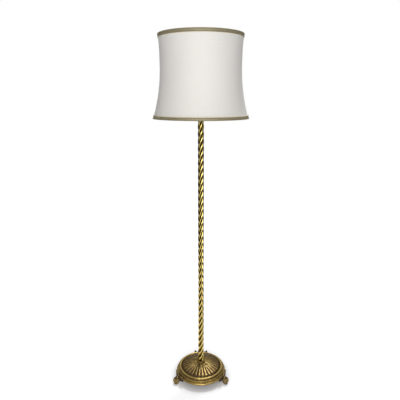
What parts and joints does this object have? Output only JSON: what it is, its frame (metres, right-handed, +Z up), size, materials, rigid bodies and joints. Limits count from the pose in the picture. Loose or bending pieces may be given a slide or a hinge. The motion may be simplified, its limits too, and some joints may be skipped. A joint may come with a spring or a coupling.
{
  "type": "floor lamp",
  "caption": "Candlestick floor lamp: rope-twist column on a round domed base with paw feet, under a waisted drum shade on a harp.",
  "frame": {"origin": "on the floor, on the column's axis", "axes": "+Z up the column; -Y is the side that the picture shows, with the switch knob; +X to the viewer's right"},
  "size_m": [0.4575, 0.4576, 1.7854],
  "materials": {
    "gilt_column": "polished gilt brass with worn darker grooves",
    "gilt_base": "antiqued gilt with dark-brown patina in the recesses",
    "brass": "plain lacquered brass",
    "steel": "zinc-plated",
    "iron": "black-painted casting",
    "felt": "dark felt",
    "rubber": "matt black",
    "silk": "off-white silk, taut and smooth",
    "lining": "white lining",
    "braid": "woven gold gimp braid",
    "frame_wire": "white-painted wire",
    "black_plastic": "moulded black",
    "phenolic": "brown moulding",
    "card": "pressed card",
    "frosted_glass": "frosted inside",
    "black_glass": "black insulating glass",
    "bulb_metal": "plain"
  },
  "bodies": {
    "stand": {"column_lower": "gilt_column", "column_middle": "gilt_column", "column_upper": "gilt_column", "foot_rear": "gilt_base", "foot_front_left": "gilt_base", "foot_front_right": "gilt_base", "plinth_ring": "gilt_base", "base_rim": "gilt_base", "base_dome": "gilt_base", "stem_cup": "gilt_base", "column_sleeves": "brass", "column_cap": "brass", "neck_tube": "brass", "harp_saddle": "brass", "harp": "brass", "socket_cap": "brass", "socket_shell": "brass", "screw_shell": "brass", "centre_contact": "brass", "foot_screws": "steel", "plate_screws": "steel", "base_washer": "steel", "base_nut": "steel", "threaded_rod": "steel", "top_locknut": "steel", "harp_stud": "steel", "terminal_screws": "steel", "ballast": "iron", "base_plate": "iron", "foot_pads": "felt", "cord_grommet": "rubber", "socket_body": "phenolic", "socket_liner": "card"},
    "switch": {"switch_shaft": "brass", "switch_knob": "black_plastic"},
    "bulb_tip": {"bulb_contact": "bulb_metal"},
    "bulb": {"bulb_insulator": "black_glass", "bulb_cap": "bulb_metal", "bulb_glass": "frosted_glass", "bulb_stem": "bulb_metal"},
    "shade": {"shade_fabric": "silk", "shade_lining": "lining", "shade_top_ring": "frame_wire", "shade_bottom_ring": "frame_wire", "shade_struts": "frame_wire", "shade_spider": "frame_wire", "trim_top": "braid", "trim_bottom": "braid"},
    "finial_core": {"finial_insert": "brass"},
    "finial": {"finial_knob": "brass"},
    "left_ferrule": {"ferrule_left": "brass"},
    "right_ferrule": {"ferrule_right": "brass"}
  },
  "joints": [
    {"name": "shade_swivel", "type": "hinge", "parent": "stand", "child": "shade", "pos_m": [0, 0, 1.741], "axis": [0, 0, 1], "continuous": true},
    {"name": "switch_turn", "type": "hinge", "parent": "stand", "child": "switch", "pos_m": [0, -0.03, 1.467], "axis": [0, -1, 0], "continuous": true},
    {"name": "bulb_lift", "type": "slide", "parent": "stand", "child": "bulb_tip", "axis": [0, 0, 1], "range_m": [0, 0.024]},
    {"name": "bulb_turn", "type": "hinge", "parent": "bulb_tip", "child": "bulb", "pos_m": [0, 0, 1.49], "axis": [0, 0, 1], "range_deg": [0, 2376]},
    {"name": "finial_lift", "type": "slide", "parent": "stand", "child": "finial_core", "axis": [0, 0, 1], "range_m": [0, 0.01458]},
    {"name": "finial_turn", "type": "hinge", "parent": "finial_core", "child": "finial", "pos_m": [0, 0, 1.75], "axis": [0, 0, 1], "range_deg": [0, 5580]},
    {"name": "left_ferrule_slide", "type": "slide", "parent": "stand", "child": "left_ferrule", "axis": [0, 0, 1], "range_m": [0, 0.012]},
    {"name": "right_ferrule_slide", "type": "slide", "parent": "stand", "child": "right_ferrule", "axis": [0, 0, 1], "range_m": [0, 0.012]}
  ],
  "couplings": [
    {"joint": "bulb_lift", "follows": "bulb_turn", "m_per_rad": 0.00057751},
    {"joint": "finial_turn", "follows": "finial_lift", "rad_per_m": 6679.2}
  ]
}
